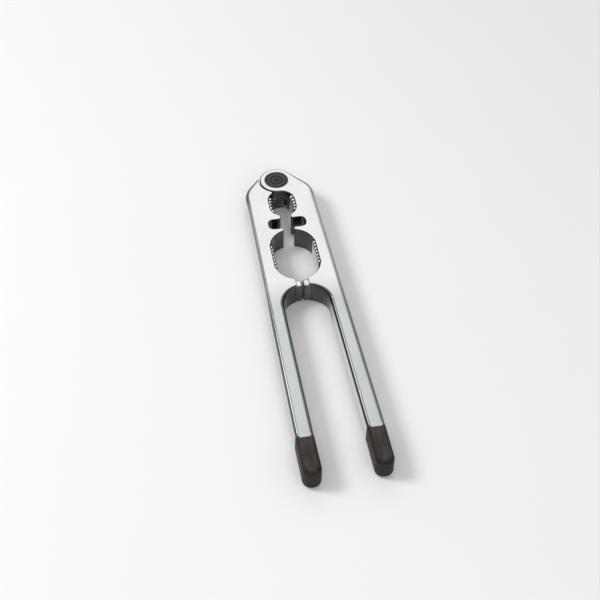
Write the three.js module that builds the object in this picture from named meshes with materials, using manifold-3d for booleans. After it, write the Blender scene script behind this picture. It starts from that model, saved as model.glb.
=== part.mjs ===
// Lever nutcracker: two cast levers on one rivet, with a walnut and a hazelnut pocket between them.
// Both levers are the same casting. Each has a half-thickness eye, so the two lap on the rivet.
// Millimetres, +Z up. The tool lies closed on its back. The pivot axis is +Z through the origin,
// the handles run towards -Y, and the levers part along the plane x = 0.

import * as THREE from 'three';
import { mergeVertices } from 'three/addons/utils/BufferGeometryUtils.js';
import Module from 'manifold-3d';

const wasm = await Module();
wasm.setup();

// Whole tool
const THICKNESS = 12;
const OVERRUN = 1;
const FACET_SAG = 0.02;
const EDGE_STEPS = 4;
const ANGLE_NOISE = 1e-7;

// Head
const EYE_RADIUS = 8.4;
const HEAD_HALF_WIDTH = 17.1;
const HEAD_CORNER_RADIUS = 12;
const SHOULDER_ANGLE = Math.PI / 4;

// Lap joint between the eyes
const LAP_GAP = 0.5;
const LAP_SEAT_CLEARANCE = 0.6;
const LAP_SEAT_CORNER_RADIUS = 1.2;

// Pockets and slot, from the pivot down, each with the tongue of metal that ends it
const HAZELNUT_RADIUS = 6.5;
const HAZELNUT_STRAIGHT = 4.5;
const UPPER_NECK = 2;
const SLOT_WIDTH = 6.5;
const SLOT_HALF_LENGTH = 9.15;
const SLOT_CORNER_RADIUS = 2.6;
const LOWER_NECK = 1.55;
const WALNUT_RADIUS = 10.8;
const WALNUT_STRAIGHT = 11.3;
const NOSE_WIDTH = 3.45;
const NECK_HALF_GAP = 2.6;
const NOSE_HALF_GAP = 2.9;
const NECK_CORNER_RADIUS = 0.9;
const NECK_ROUND_SHARE = 0.42;

// Stop pad on each nose, where the closed levers meet
const PAD_HALF_GAP = 0.15;
const PAD_WIDTH = 4.2;
const PAD_LENGTH = 4.6;
const PAD_DROP = 0.5;
const PAD_INSET = 0.8;
const PAD_ROUND = 1;

// Handles
const ARCH_RADIUS = 10.8;
const HANDLE_LENGTH = 75.2;
const HANDLE_END_OUTER = 19.35;
const HANDLE_END_WIDTH = 8.05;
const HANDLE_END_RADIUS = 2.2;

// Rounding of the top and bottom edges
const EYE_EDGE = 0.8;
const HEAD_EDGE = 2.4;
const POCKET_EDGE = 0.4;
const ARCH_EDGE = 2.2;
const ARCH_EDGE_TAPER = 13;
const HANDLE_EDGE = 2.1;
const HANDLE_END_EDGE = 0.5;

// Tang under each grip tip
const TANG_LENGTH = 13;
const TANG_WIDTH = 4;
const TANG_HEIGHT = 7;
const TANG_CORNER_RADIUS = 1.2;
const TANG_EDGE = 0.6;

// Grip tips
const TIP_LENGTH = 18.2;
const TIP_FLARE = 0.1;
const TIP_END_FLAT = 0.84;
const TIP_EDGE = 2.4;
const TIP_CLEARANCE = 0.2;
const TIP_COLLAR = 6;

// Rivet, washers and caps
const SHANK_RADIUS = 3;
const BORE_CLEARANCE = 0.1;
const HEAD_RADIUS = 4.6;
const HEAD_HEIGHT = 1.3;
const HEAD_CLEARANCE = 0.2;
const RIVET_EDGE = 0.4;
const TAIL_RADIUS = 4;
const TAIL_HEIGHT = 0.8;
const RIVET_WASHER_THICKNESS = 0.5;
const LAP_WASHER_RADIUS = 7.4;
const RUNNING_GAP = 0.05;
const CAP_RADIUS = 5.9;
const CAP_THICKNESS = 1.5;
const CAP_GAP = 0.1;
const CAP_EDGE = 0.3;
const CAP_HUB_RADIUS = 0.6;
const CAP_GROOVES = 3;
const CAP_GROOVE_PITCH = 1.9;
const CAP_GROOVE_WIDTH = 0.85;
const CAP_GROOVE_DEPTH = 0.25;
const CAP_SLOPE_SHARE = 0.25;

// Toothed jaw strips
const TOOTH_PITCH = 2.15;
const TOOTH_DEPTH = 0.75;
const TOOTH_CREST_SHARE = 0.28;
const JAW_CHAMFER = 0.6;
const JAW_INSET = 0.4;
const JAW_GAP = 0.3;
const WALNUT_TEETH = 7;
const WALNUT_JAW_STAND = 1.2;
const HAZELNUT_TEETH = 5;
const HAZELNUT_JAW_STAND = 1.4;
const HAZELNUT_JAW_BOW = 0.85;
const JAW_SEAT_DEPTH = 0.25;
const TONGUE_DEPTH = 1.8;
const TONGUE_HEIGHT = 5;
const TONGUE_LENGTH_SHARE = 0.55;
const TONGUE_GAP = 0.1;

// Places that follow from the sizes above
const HAZELNUT_TOP = -EYE_RADIUS - HAZELNUT_RADIUS;
const HAZELNUT_BOTTOM = HAZELNUT_TOP - HAZELNUT_STRAIGHT;
const SLOT_TOP = HAZELNUT_BOTTOM - HAZELNUT_RADIUS - UPPER_NECK;
const SLOT_BOTTOM = SLOT_TOP - SLOT_WIDTH;
const WALNUT_TOP = SLOT_BOTTOM - LOWER_NECK - WALNUT_RADIUS;
const WALNUT_BOTTOM = WALNUT_TOP - WALNUT_STRAIGHT;
const NOSE_TOP = WALNUT_BOTTOM - WALNUT_RADIUS;
const ARCH_Y = NOSE_TOP - NOSE_WIDTH - ARCH_RADIUS;
const HANDLE_END = ARCH_Y - HANDLE_LENGTH;
const HANDLE_END_INNER = HANDLE_END_OUTER - HANDLE_END_WIDTH;
const TIP_END = HANDLE_END - TIP_LENGTH;
const TIP_CORNER_RADIUS = HANDLE_END_WIDTH / 2 + TIP_FLARE - TIP_END_FLAT / 2;
const LAP_PLANE = (THICKNESS + LAP_GAP) / 2;
const LAP_SEAT_RADIUS = EYE_RADIUS + LAP_SEAT_CLEARANCE;
const HEAD_CORNER_X = HEAD_HALF_WIDTH - HEAD_CORNER_RADIUS;
const HEAD_CORNER_Y = (EYE_RADIUS - HEAD_CORNER_RADIUS - HEAD_CORNER_X * Math.cos(SHOULDER_ANGLE))
  / Math.sin(SHOULDER_ANGLE);

// Circles that an outline runs round: metal is a round corner, hollow is a round bay in the metal.
// Each has the edge rounding that it is left with, and a corner also the one that it is reached with.
// A taper is the length over which the edge rounding after a circle goes over to the next one's.
const metal = (x, y, radius, edge, firstEdge = edge) => (
  { x, y, radius, firstEdge, edge, turn: 1, taper: 0 });
const hollow = (x, y, radius, edge, taper = 0) => ({ x, y, radius, edge, turn: -1, taper });

// Heading of the straight line that leaves circle a and arrives at circle b, metal on its left.
function tangentHeading(a, b) {
  const dx = b.x - a.x;
  const dy = b.y - a.y;
  const shift = (b.turn * b.radius - a.turn * a.radius) / Math.hypot(dx, dy);
  return Math.atan2(dy, dx) - Math.asin(THREE.MathUtils.clamp(shift, -1, 1));
}

// The stretch of outline round one circle, and the taper that may follow it.
// Each point keeps its outward normal and its edge rounding, which a bay takes over from its neighbour.
function beltStretch(before, circle, after) {
  const start = tangentHeading(before, circle);
  const leave = tangentHeading(circle, after);
  const sweepTurns = THREE.MathUtils.euclideanModulo(
    circle.turn * (leave - start) / (2 * Math.PI) + ANGLE_NOISE, 1) - ANGLE_NOISE;
  const sweep = sweepTurns * 2 * Math.PI;
  const steps = Math.max(1, Math.ceil(sweep / (2 * Math.acos(1 - FACET_SAG / circle.radius))));
  const firstEdge = circle.turn < 0 ? before.edge : circle.firstEdge;
  const points = Array.from({ length: steps + 1 }, (_, step) => {
    const outward = start + circle.turn * sweep * step / steps - Math.PI / 2;
    const nx = Math.cos(outward);
    const ny = Math.sin(outward);
    const reach = circle.turn * circle.radius;
    const edge = THREE.MathUtils.lerp(firstEdge, circle.edge, step / steps);
    return { x: circle.x + reach * nx, y: circle.y + reach * ny, nx, ny, edge };
  });
  if (circle.taper > 0) {
    const last = points.at(-1);
    const x = last.x + circle.taper * Math.cos(leave);
    const y = last.y + circle.taper * Math.sin(leave);
    points.push({ ...last, x, y, edge: after.firstEdge });
  }
  return points;
}

// A closed outline, anticlockwise, drawn like a belt round its circles.
function beltOutline(circles) {
  return circles.flatMap((circle, index) => {
    const before = circles.at(index - 1);
    const after = circles[(index + 1) % circles.length];
    return beltStretch(before, circle, after);
  }).filter((point, index, points) => {
    const next = points[(index + 1) % points.length];
    return Math.hypot(next.x - point.x, next.y - point.y) > FACET_SAG;
  });
}

// A flat plate of that outline between two heights, its edges rounded over above and below.
function roundedPlate(circles, low, high) {
  const outline = beltOutline(circles);
  const rings = [];
  for (let step = 0; step <= EDGE_STEPS; step += 1) {
    const angle = step / EDGE_STEPS * Math.PI / 2;
    const inset = 1 - Math.sin(angle);
    const rise = 1 - Math.cos(angle);
    rings.push(outline.map(({ x, y, nx, ny, edge }) => [x - nx * edge * inset, y - ny * edge * inset,
      low + edge * rise]));
  }
  for (let step = EDGE_STEPS; step >= 0; step -= 1) {
    rings.push(rings[step].map(([x, y, z]) => [x, y, high - (z - low)]));
  }
  const count = outline.length;
  const triangles = [];
  for (let ring = 0; ring + 1 < rings.length; ring += 1) {
    for (let i = 0; i < count; i += 1) {
      const a = ring * count + i;
      const b = ring * count + (i + 1) % count;
      triangles.push(a, b, b + count, a, b + count, a + count);
    }
  }
  const face = rings[0].map(([x, y]) => new THREE.Vector2(x, y));
  const top = (rings.length - 1) * count;
  THREE.ShapeUtils.triangulateShape(face, []).forEach(([a, b, c]) => {
    triangles.push(c, b, a, top + a, top + b, top + c);
  });
  const geometry = new THREE.BufferGeometry();
  geometry.setAttribute('position', new THREE.Float32BufferAttribute(rings.flat(2), 3));
  geometry.setIndex(triangles);
  return solidOf(geometry);
}

function solidOf(geometry) {
  const bare = geometry.clone();
  bare.deleteAttribute('normal');
  bare.deleteAttribute('uv');
  const merged = mergeVertices(bare);
  return new wasm.Manifold(new wasm.Mesh({
    numProp: 3,
    vertProperties: new Float32Array(merged.attributes.position.array),
    triVerts: new Uint32Array(merged.index.array),
  }));
}

function geometryOf(solid) {
  const mesh = solid.getMesh();
  const geometry = new THREE.BufferGeometry();
  geometry.setAttribute('position', new THREE.Float32BufferAttribute(mesh.vertProperties, 3));
  geometry.setIndex(new THREE.Uint32BufferAttribute(mesh.triVerts, 1));
  geometry.computeVertexNormals();
  return geometry;
}

function block(xLow, xHigh, yLow, yHigh, zLow, zHigh) {
  const box = new THREE.BoxGeometry(xHigh - xLow, yHigh - yLow, zHigh - zLow);
  box.translate((xLow + xHigh) / 2, (yLow + yHigh) / 2, (zLow + zHigh) / 2);
  return solidOf(box);
}

function arcSteps(radius) {
  return Math.ceil(Math.PI / Math.acos(1 - FACET_SAG / radius));
}

// A solid turned about the pivot axis from [radius, height] pairs that start and end on the axis.
function turned(profile, outerRadius) {
  const points = profile.map(([radius, height]) => new THREE.Vector2(radius, height));
  const lathe = new THREE.LatheGeometry(points, arcSteps(outerRadius));
  lathe.rotateX(Math.PI / 2);
  return lathe;
}

function disc(radius, low, high) {
  return solidOf(turned([[0, low], [radius, low], [radius, high], [0, high]], radius));
}

function pivotRing(innerRadius, outerRadius, low, high) {
  const corners = [[innerRadius, low], [outerRadius, low], [outerRadius, high], [innerRadius, high],
    [innerRadius, low]];
  return turned(corners, outerRadius);
}

// Height of the centre of a round corner that touches a round bay and reaches out to x = halfGap.
function cornerBeside(bay, halfGap, radius) {
  return Math.sqrt((bay.radius + radius) ** 2 - (halfGap + radius) ** 2);
}

// Corner radius that fits a tongue of metal between two heights.
function neckRadius(high, low) {
  return Math.min(NECK_CORNER_RADIUS, NECK_ROUND_SHARE * (high - low));
}

function bayHalfChord(bay, halfGap) {
  return Math.sqrt(bay.radius ** 2 - halfGap ** 2);
}

// The bays that the right lever's inner edge runs round.
const bays = {
  hazelnutTop: hollow(0, HAZELNUT_TOP, HAZELNUT_RADIUS, POCKET_EDGE),
  hazelnutBottom: hollow(0, HAZELNUT_BOTTOM, HAZELNUT_RADIUS, POCKET_EDGE),
  walnutTop: hollow(0, WALNUT_TOP, WALNUT_RADIUS, POCKET_EDGE),
  walnutBottom: hollow(0, WALNUT_BOTTOM, WALNUT_RADIUS, POCKET_EDGE),
  arch: hollow(0, ARCH_Y, ARCH_RADIUS, ARCH_EDGE, ARCH_EDGE_TAPER),
};

// Tongue between the hazelnut pocket and the cross slot.
function upperNeck() {
  const bay = bays.hazelnutBottom;
  const high = bay.y - bayHalfChord(bay, NECK_HALF_GAP);
  const radius = neckRadius(high, SLOT_TOP);
  const x = NECK_HALF_GAP + radius;
  const topY = bay.y - cornerBeside(bay, NECK_HALF_GAP, radius);
  return [metal(x, topY, radius, POCKET_EDGE), metal(x, SLOT_TOP + radius, radius, POCKET_EDGE)];
}

// One lobe of the cross slot.
function slotLobe() {
  const x = SLOT_HALF_LENGTH - SLOT_CORNER_RADIUS;
  return [SLOT_TOP - SLOT_CORNER_RADIUS, SLOT_BOTTOM + SLOT_CORNER_RADIUS].map(
    (y) => hollow(x, y, SLOT_CORNER_RADIUS, POCKET_EDGE));
}

// Thin tongue between the cross slot and the walnut pocket.
function lowerNeck() {
  const bay = bays.walnutTop;
  const low = bay.y + bayHalfChord(bay, NECK_HALF_GAP);
  const radius = neckRadius(SLOT_BOTTOM, low);
  const x = NECK_HALF_GAP + radius;
  const edge = Math.min(POCKET_EDGE, radius);
  const bottomY = bay.y + cornerBeside(bay, NECK_HALF_GAP, radius);
  return [metal(x, SLOT_BOTTOM - radius, radius, edge), metal(x, bottomY, radius, edge)];
}

// Nose between the walnut pocket and the arch of the handles.
function stopNose() {
  const { walnutBottom, arch } = bays;
  const high = walnutBottom.y - bayHalfChord(walnutBottom, NOSE_HALF_GAP);
  const low = arch.y + bayHalfChord(arch, NOSE_HALF_GAP);
  const radius = neckRadius(high, low);
  const x = NOSE_HALF_GAP + radius;
  const topY = walnutBottom.y - cornerBeside(walnutBottom, NOSE_HALF_GAP, radius);
  const bottomY = arch.y + cornerBeside(arch, NOSE_HALF_GAP, radius);
  return [metal(x, topY, radius, POCKET_EDGE), metal(x, bottomY, radius, POCKET_EDGE)];
}

// The two round corners of the handle's end, grown by a clearance.
function handleEnd(clearance = 0) {
  const y = HANDLE_END + HANDLE_END_RADIUS;
  const radius = HANDLE_END_RADIUS + clearance;
  const side = HANDLE_EDGE + clearance;
  const end = HANDLE_END_EDGE + clearance;
  return [
    metal(HANDLE_END_INNER + HANDLE_END_RADIUS, y, radius, end, side),
    metal(HANDLE_END_OUTER - HANDLE_END_RADIUS, y, radius, side, end),
  ];
}

// Whole outline of the right lever, from its eye down the inner edge and back up the outer edge.
function leverCircles() {
  return [
    metal(0, 0, EYE_RADIUS, EYE_EDGE),
    bays.hazelnutTop,
    bays.hazelnutBottom,
    ...upperNeck(),
    ...slotLobe(),
    ...lowerNeck(),
    bays.walnutTop,
    bays.walnutBottom,
    ...stopNose(),
    bays.arch,
    ...handleEnd(),
    metal(HEAD_CORNER_X, HEAD_CORNER_Y, HEAD_CORNER_RADIUS, HEAD_EDGE),
  ];
}

// A plate with four round corners, for the tang and the stop pad.
function roundedBlock(x, y, z, radius, edge) {
  const corners = [[x[0], y[1]], [x[0], y[0]], [x[1], y[0]], [x[1], y[1]]];
  const middle = { x: (x[0] + x[1]) / 2, y: (y[0] + y[1]) / 2 };
  const circles = corners.map(([cx, cy]) => metal(
    cx + radius * Math.sign(middle.x - cx), cy + radius * Math.sign(middle.y - cy), radius, edge));
  return roundedPlate(circles, z[0], z[1]);
}

function stopPad() {
  const middle = NOSE_TOP - NOSE_WIDTH / 2 - PAD_DROP;
  const y = [middle - PAD_LENGTH / 2, middle + PAD_LENGTH / 2];
  const x = [PAD_HALF_GAP, PAD_HALF_GAP + PAD_WIDTH];
  return roundedBlock(x, y, [PAD_INSET, THICKNESS - PAD_INSET], PAD_ROUND, PAD_ROUND);
}

// The tang, or with a clearance the socket that it fills.
function tang(clearance) {
  const middle = (HANDLE_END_INNER + HANDLE_END_OUTER) / 2;
  const half = TANG_WIDTH / 2 + clearance;
  const rise = TANG_HEIGHT / 2 + clearance;
  const x = [middle - half, middle + half];
  const y = [HANDLE_END - TANG_LENGTH - clearance, HANDLE_END + HANDLE_END_RADIUS + TANG_CORNER_RADIUS];
  const z = [THICKNESS / 2 - rise, THICKNESS / 2 + rise];
  return roundedBlock(x, y, z, TANG_CORNER_RADIUS + clearance, TANG_EDGE);
}

// Room for the other lever's eye, with the corner towards the hazelnut pocket rounded off.
function lapSeat() {
  const bay = bays.hazelnutTop;
  const toEye = LAP_SEAT_RADIUS + LAP_SEAT_CORNER_RADIUS;
  const toBay = bay.radius + LAP_SEAT_CORNER_RADIUS;
  const y = (bay.y ** 2 + toEye ** 2 - toBay ** 2) / (2 * bay.y);
  const x = Math.sqrt(toEye ** 2 - y ** 2);
  const corner = new THREE.Path();
  corner.absarc(x, y, LAP_SEAT_CORNER_RADIUS, Math.atan2(-y, -x), Math.atan2(bay.y - y, -x), false);
  const cusp = new THREE.Shape([new THREE.Vector2(0, 0), ...corner.getPoints(), new THREE.Vector2(0, bay.y)]);
  const relief = new THREE.ExtrudeGeometry(cusp, { depth: LAP_PLANE + OVERRUN, bevelEnabled: false });
  relief.translate(0, 0, -OVERRUN);
  return disc(LAP_SEAT_RADIUS, -OVERRUN, LAP_PLANE).add(solidOf(relief));
}

// Bore, rivet head recess and cap recess through the eye.
function eyeBores() {
  const recessFloor = THICKNESS - CAP_THICKNESS;
  const headFloor = recessFloor - HEAD_HEIGHT - HEAD_CLEARANCE;
  return disc(SHANK_RADIUS + BORE_CLEARANCE, -OVERRUN, THICKNESS + OVERRUN)
    .add(disc(HEAD_RADIUS + HEAD_CLEARANCE, headFloor, THICKNESS + OVERRUN))
    .add(disc(CAP_RADIUS, recessFloor, THICKNESS + OVERRUN));
}

// Where each jaw strip lies: the wall of its pocket, its middle, its teeth, how far it stands out
// and how far its ends bow in with the pocket.
const walnutJaw = {
  wall: WALNUT_RADIUS,
  middle: (WALNUT_TOP + WALNUT_BOTTOM) / 2,
  teeth: WALNUT_TEETH,
  stand: WALNUT_JAW_STAND,
  bow: 0,
};
const hazelnutJaw = {
  wall: HAZELNUT_RADIUS,
  middle: (HAZELNUT_TOP + HAZELNUT_BOTTOM) / 2,
  teeth: HAZELNUT_TEETH,
  stand: HAZELNUT_JAW_STAND,
  bow: HAZELNUT_JAW_BOW,
};

// A point of a straight strip, moved in as the strip bows in with its pocket.
function bowed({ middle, teeth, bow }, [x, y]) {
  const share = (y - middle) / (teeth * TOOTH_PITCH / 2);
  return [x - bow * share ** 2, y];
}

// The convex solid round outlines that lie at some heights, given as [height, outline] pairs.
function hullOf(levels) {
  const points = levels.flatMap(([height, outline]) => outline.map(([x, y]) => [x, y, height]));
  return wasm.Manifold.hull(points);
}

function tongue({ wall, middle, teeth }, clearance) {
  const back = wall + JAW_SEAT_DEPTH - JAW_GAP;
  const half = teeth * TOOTH_PITCH * TONGUE_LENGTH_SHARE / 2 + clearance;
  const rise = TONGUE_HEIGHT / 2 + clearance;
  return block(back - OVERRUN / 2, back + TONGUE_DEPTH + clearance, middle - half, middle + half,
    THICKNESS / 2 - rise, THICKNESS / 2 + rise);
}

// Seat in the pocket wall for a jaw strip, with the slot for its tongue.
function jawSeat(jaw) {
  const half = jaw.teeth * TOOTH_PITCH / 2 + JAW_GAP;
  const front = jaw.wall - jaw.stand - jaw.bow;
  const back = Array.from({ length: jaw.teeth + 1 }, (_, step) => bowed(jaw, [jaw.wall + JAW_SEAT_DEPTH,
    THREE.MathUtils.lerp(jaw.middle - half, jaw.middle + half, step / jaw.teeth)]));
  const outline = [[front, jaw.middle - half], ...back, [front, jaw.middle + half]];
  return hullOf([[-OVERRUN, outline], [THICKNESS + OVERRUN, outline]]).add(tongue(jaw, TONGUE_GAP));
}

// One tooth of a jaw strip with the stretch of strip behind it, its crest chamfered at both ends.
function jawTooth(jaw, index) {
  const tip = jaw.wall - jaw.stand;
  const root = tip + TOOTH_DEPTH;
  const back = jaw.wall + JAW_SEAT_DEPTH - JAW_GAP;
  const top = jaw.middle + (jaw.teeth / 2 - index) * TOOTH_PITCH;
  const bottom = jaw.middle + (jaw.teeth / 2 - index - 1) * TOOTH_PITCH;
  const middle = (top + bottom) / 2;
  const section = (rise) => {
    const half = THREE.MathUtils.lerp(TOOTH_PITCH * TOOTH_CREST_SHARE, TOOTH_PITCH, rise / TOOTH_DEPTH) / 2;
    return [[back, bottom], [back, top], [root, top], [tip + rise, middle + half],
      [tip + rise, middle - half], [root, bottom]].map((point) => bowed(jaw, point));
  };
  return hullOf([
    [JAW_INSET, section(JAW_CHAMFER)],
    [JAW_INSET + JAW_CHAMFER, section(0)],
    [THICKNESS - JAW_INSET - JAW_CHAMFER, section(0)],
    [THICKNESS - JAW_INSET, section(JAW_CHAMFER)],
  ]);
}

function jawStrip(jaw) {
  const teeth = Array.from({ length: jaw.teeth }, (_, index) => jawTooth(jaw, index));
  return wasm.Manifold.union([...teeth, tongue(jaw, 0)]);
}

function leverCasting() {
  return roundedPlate(leverCircles(), 0, THICKNESS)
    .add(stopPad())
    .add(tang(0))
    .subtract(lapSeat())
    .subtract(eyeBores())
    .subtract(jawSeat(walnutJaw))
    .subtract(jawSeat(hazelnutJaw));
}

// The handle's last stretch as a plate, grown by a clearance, to shape the mouth of the grip tip.
function handleStub(clearance) {
  const rootY = HANDLE_END + TIP_COLLAR + HANDLE_END_WIDTH;
  const end = handleEnd(clearance);
  const root = end.map(({ x, radius }) => metal(x, rootY, radius, HANDLE_EDGE + clearance)).reverse();
  return roundedPlate([...end, ...root], -clearance, THICKNESS + clearance);
}

function gripTip() {
  const radius = TIP_CORNER_RADIUS;
  const [inner, outer] = [HANDLE_END_INNER, HANDLE_END_OUTER];
  const mouth = HANDLE_END + TIP_COLLAR;
  const end = TIP_END + radius;
  const mouthRadius = HANDLE_END_RADIUS;
  return roundedPlate([
    metal(inner + mouthRadius, mouth, mouthRadius, HANDLE_EDGE),
    metal(inner - TIP_FLARE + radius, end, radius, TIP_EDGE),
    metal(outer + TIP_FLARE - radius, end, radius, TIP_EDGE),
    metal(outer - mouthRadius, mouth, mouthRadius, HANDLE_EDGE),
  ], 0, THICKNESS)
    .subtract(handleStub(TIP_CLEARANCE))
    .subtract(tang(TIP_CLEARANCE));
}

// Rivet: its head in the front eye's recess, its tail spread over the washer in the rear eye's.
function pivotRivet() {
  const frontSeat = THICKNESS - CAP_THICKNESS - HEAD_HEIGHT - HEAD_CLEARANCE;
  const rearSeat = THICKNESS - frontSeat;
  const headTop = frontSeat + RUNNING_GAP + HEAD_HEIGHT;
  const tailTop = rearSeat - 2 * RUNNING_GAP - RIVET_WASHER_THICKNESS;
  const tailEnd = tailTop - TAIL_HEIGHT;
  return turned([
    [0, tailEnd],
    [TAIL_RADIUS - RIVET_EDGE, tailEnd],
    [TAIL_RADIUS, tailEnd + RIVET_EDGE],
    [TAIL_RADIUS, tailTop],
    [SHANK_RADIUS, tailTop],
    [SHANK_RADIUS, frontSeat + RUNNING_GAP],
    [HEAD_RADIUS, frontSeat + RUNNING_GAP],
    [HEAD_RADIUS, headTop - RIVET_EDGE],
    [HEAD_RADIUS - RIVET_EDGE, headTop],
    [0, headTop],
  ], HEAD_RADIUS);
}

function rivetWasher() {
  const seat = CAP_THICKNESS + HEAD_HEIGHT + HEAD_CLEARANCE - RUNNING_GAP;
  return pivotRing(SHANK_RADIUS + BORE_CLEARANCE, HEAD_RADIUS, seat - RIVET_WASHER_THICKNESS, seat);
}

function lapWasher() {
  const half = LAP_GAP / 2 - RUNNING_GAP;
  return pivotRing(SHANK_RADIUS + BORE_CLEARANCE, LAP_WASHER_RADIUS, THICKNESS / 2 - half,
    THICKNESS / 2 + half);
}

// Press-in cap with raised rings round a hub, flush with the face of its eye.
function pivotCap() {
  const radius = CAP_RADIUS - CAP_GAP;
  const top = THICKNESS;
  const bottom = THICKNESS - CAP_THICKNESS + CAP_GAP;
  const valley = top - CAP_GROOVE_DEPTH;
  const slope = CAP_GROOVE_WIDTH * CAP_SLOPE_SHARE;
  const grooves = Array.from({ length: CAP_GROOVES }, (_, groove) => {
    const inner = CAP_HUB_RADIUS + groove * CAP_GROOVE_PITCH;
    const outer = inner + CAP_GROOVE_WIDTH;
    return [[outer, top], [outer - slope, valley], [inner + slope, valley], [inner, top]];
  }).reverse().flat();
  return turned([[0, bottom], [radius, bottom], [radius, top - CAP_EDGE], [radius - CAP_EDGE, top],
    ...grooves, [0, top]], radius);
}

// Materials
function castMetal() {
  return new THREE.MeshStandardMaterial({ color: 0xdfe2e3, roughness: 0.32, metalness: 1 });
}

function jawSteel() {
  return new THREE.MeshStandardMaterial({ color: 0xd0d2d2, roughness: 0.28, metalness: 1 });
}

function rivetSteel() {
  return new THREE.MeshStandardMaterial({ color: 0x9a9c9d, roughness: 0.4, metalness: 1 });
}

function capPlastic() {
  return new THREE.MeshStandardMaterial({ color: 0x2b2c2d, roughness: 0.42, metalness: 0 });
}

function tipPlastic() {
  return new THREE.MeshStandardMaterial({ color: 0x2e2721, roughness: 0.6, metalness: 0 });
}

function piece(name, geometry, material) {
  const mesh = new THREE.Mesh(geometry, material);
  mesh.name = name;
  return mesh;
}

// One side of the tool in the right lever's place: casting, cap, jaws and grip tip.
function leverSide(side, capName) {
  const group = new THREE.Group();
  group.add(
    piece(`${side}_lever`, geometryOf(leverCasting()), castMetal()),
    piece(capName, pivotCap(), capPlastic()),
    piece(`${side}_walnut_jaw`, geometryOf(jawStrip(walnutJaw)), jawSteel()),
    piece(`${side}_hazelnut_jaw`, geometryOf(jawStrip(hazelnutJaw)), jawSteel()),
    piece(`${side}_grip_tip`, geometryOf(gripTip()), tipPlastic()),
  );
  return group;
}

const nutcracker = new THREE.Group();

// The left side is the right one turned over about the tool's long axis.
const leftSide = leverSide('left', 'rear_cap');
leftSide.rotation.y = Math.PI;
leftSide.position.z = THICKNESS;

nutcracker.add(
  leverSide('right', 'front_cap'),
  leftSide,
  piece('pivot_rivet', pivotRivet(), rivetSteel()),
  piece('rivet_washer', rivetWasher(), rivetSteel()),
  piece('lap_washer', lapWasher(), rivetSteel()),
);

export default nutcracker;
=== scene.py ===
"""Looks of a lever nutcracker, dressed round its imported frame.

The frame gives each piece its place. This script rebuilds what shows with fine roundings, and gives
every surface its finish. Lengths are metres, the pivot axis is +Z through the origin, and the handles
run towards -Y. The left side is the right one turned over, so both are made in the right one's place.
"""

import math

import bpy
import numpy as np
from mathutils import Matrix, Vector


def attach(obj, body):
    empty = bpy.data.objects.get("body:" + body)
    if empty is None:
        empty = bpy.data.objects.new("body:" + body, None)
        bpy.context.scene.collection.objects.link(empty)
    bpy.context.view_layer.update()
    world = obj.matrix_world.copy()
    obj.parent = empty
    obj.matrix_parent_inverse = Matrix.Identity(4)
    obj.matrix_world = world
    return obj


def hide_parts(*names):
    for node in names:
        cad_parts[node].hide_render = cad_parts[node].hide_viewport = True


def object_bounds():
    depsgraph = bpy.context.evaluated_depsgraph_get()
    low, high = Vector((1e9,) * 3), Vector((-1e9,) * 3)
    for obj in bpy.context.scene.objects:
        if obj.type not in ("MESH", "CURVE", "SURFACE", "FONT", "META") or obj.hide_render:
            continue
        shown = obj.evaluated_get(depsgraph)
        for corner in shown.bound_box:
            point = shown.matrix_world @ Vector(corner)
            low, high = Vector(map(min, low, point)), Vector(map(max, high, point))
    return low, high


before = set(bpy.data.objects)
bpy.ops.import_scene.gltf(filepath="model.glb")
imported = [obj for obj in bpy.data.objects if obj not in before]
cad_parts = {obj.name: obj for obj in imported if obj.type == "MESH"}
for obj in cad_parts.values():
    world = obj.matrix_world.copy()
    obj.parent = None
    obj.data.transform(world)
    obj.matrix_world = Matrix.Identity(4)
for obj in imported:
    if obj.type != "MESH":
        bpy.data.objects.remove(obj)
CAD_LOW, CAD_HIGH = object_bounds()
MM = 0.001

# Fineness of the meshes
SAG = 0.0015 * MM
EDGE_STEPS = 10
TURN_STEPS = 160
ANGLE_NOISE = 1e-7
SHARP_ANGLE = math.radians(32)
OVERRUN = 1 * MM

# Castings
THICKNESS = CAD_HIGH.z - CAD_LOW.z
EYE_RADIUS = 8.4 * MM
HEAD_CORNER_RADIUS = 12 * MM
HEAD_HALF_WIDTH = 17.1 * MM
SHOULDER_ANGLE = math.radians(45)
HAZELNUT_RADIUS = 6.5 * MM
HAZELNUT_STRAIGHT = 4.5 * MM
UPPER_NECK = 2 * MM
SLOT_WIDTH = 6.5 * MM
SLOT_HALF_LENGTH = 9.15 * MM
SLOT_CORNER_RADIUS = 2.6 * MM
LOWER_NECK = 1.55 * MM
WALNUT_RADIUS = 10.8 * MM
WALNUT_STRAIGHT = 11.3 * MM
NOSE_WIDTH = 3.45 * MM
NECK_HALF_GAP = 2.6 * MM
NOSE_HALF_GAP = 2.9 * MM
NECK_CORNER_RADIUS = 0.9 * MM
NECK_ROUND_SHARE = 0.42
ARCH_RADIUS = 10.8 * MM
HANDLE_LENGTH = 75.2 * MM
HANDLE_END_OUTER = 19.35 * MM
HANDLE_END_WIDTH = 8.05 * MM
HANDLE_END_RADIUS = 2.2 * MM

# Edge roundings
EYE_EDGE = 0.8 * MM
HEAD_EDGE = 2.4 * MM
POCKET_EDGE = 0.4 * MM
ARCH_EDGE = 2.2 * MM
ARCH_EDGE_TAPER = 13 * MM
HANDLE_EDGE = 2.1 * MM
HANDLE_END_EDGE = 0.5 * MM
RIM_CHAMFER = 0.12 * MM

# Stop pads
PAD_HALF_GAP = 0.15 * MM
PAD_WIDTH = 4.2 * MM
PAD_LENGTH = 4.6 * MM
PAD_DROP = 0.5 * MM
PAD_INSET = 0.8 * MM
PAD_ROUND = 1 * MM

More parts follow.
